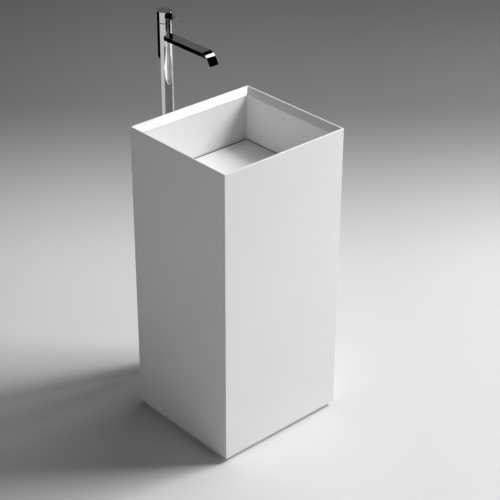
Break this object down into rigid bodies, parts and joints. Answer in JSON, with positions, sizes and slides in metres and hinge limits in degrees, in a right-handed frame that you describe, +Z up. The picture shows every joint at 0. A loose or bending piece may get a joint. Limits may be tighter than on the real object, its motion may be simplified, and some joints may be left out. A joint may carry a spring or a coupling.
{
  "type": "pedestal sink",
  "caption": "Square free-standing pedestal sink with a lift-out basin plate and a slim lever tap that stands on the floor behind it.",
  "frame": {"origin": "on the floor, at the middle of the whole footprint of pedestal and tap", "axes": "+Z up; +Y from the pedestal's front face back to the tap; +X to the right along the front"},
  "size_m": [0.42, 0.535, 1.146],
  "materials": {
    "composite": "satin",
    "plinth": "matte",
    "chrome": "polished",
    "brass": "satin",
    "steel": "satin",
    "rubber": "matte",
    "white_plastic": "satin",
    "dark_plastic": "satin"
  },
  "bodies": {
    "fixed": {"basin_tub": "composite", "bracket_bolt_left": "steel", "bracket_bolt_right": "steel", "cartridge": "white_plastic", "cartridge_nut": "brass", "fixing_bracket_left": "steel", "fixing_bracket_right": "steel", "floor_collar": "chrome", "floor_screw_left": "steel", "floor_screw_right": "steel", "glide_ring": "dark_plastic", "hose_nut_cold": "brass", "hose_nut_hot": "brass", "outlet_pipe": "chrome", "pedestal_casing": "composite", "plinth_frame": "plinth", "spout_blade": "chrome", "spout_outlet": "dark_plastic", "supply_hose_cold": "steel", "supply_hose_hot": "steel", "tap_anchor_screw_1": "steel", "tap_anchor_screw_2": "steel", "tap_anchor_screw_3": "steel", "tap_base_plate": "steel", "tap_column": "chrome", "tap_rosette": "chrome", "trap_body": "chrome", "trap_cup": "chrome", "trap_cup_seal": "rubber", "trap_dip_tube": "white_plastic", "trap_inlet_nut": "chrome", "trap_outlet_nut": "chrome", "valve_body": "brass", "waste_flange": "steel", "waste_gasket": "rubber", "waste_locknut": "steel", "waste_strainer": "steel"},
    "cover": {"cover_pad_1": "rubber", "cover_pad_2": "rubber", "cover_pad_3": "rubber", "cover_pad_4": "rubber", "cover_plate": "composite"},
    "head": {"head_cap": "chrome", "lever_pin": "steel"},
    "lever": {"lever_tab": "chrome", "lever_stem": "steel"}
  },
  "joints": [
    {"name": "cover_plate_lift", "type": "slide", "parent": "fixed", "child": "cover", "axis": [0, 0, 1], "range_m": [0, 0.181]},
    {"name": "head_turn", "type": "hinge", "parent": "fixed", "child": "head", "pos_m": [0, 0.2215, 1.1255], "axis": [0, 0, 1], "range_deg": [-45, 45]},
    {"name": "lever_lift", "type": "hinge", "parent": "head", "child": "lever", "pos_m": [0, 0.2215, 1.1255], "axis": [-1, 0, 0], "range_deg": [0, 20]}
  ]
}
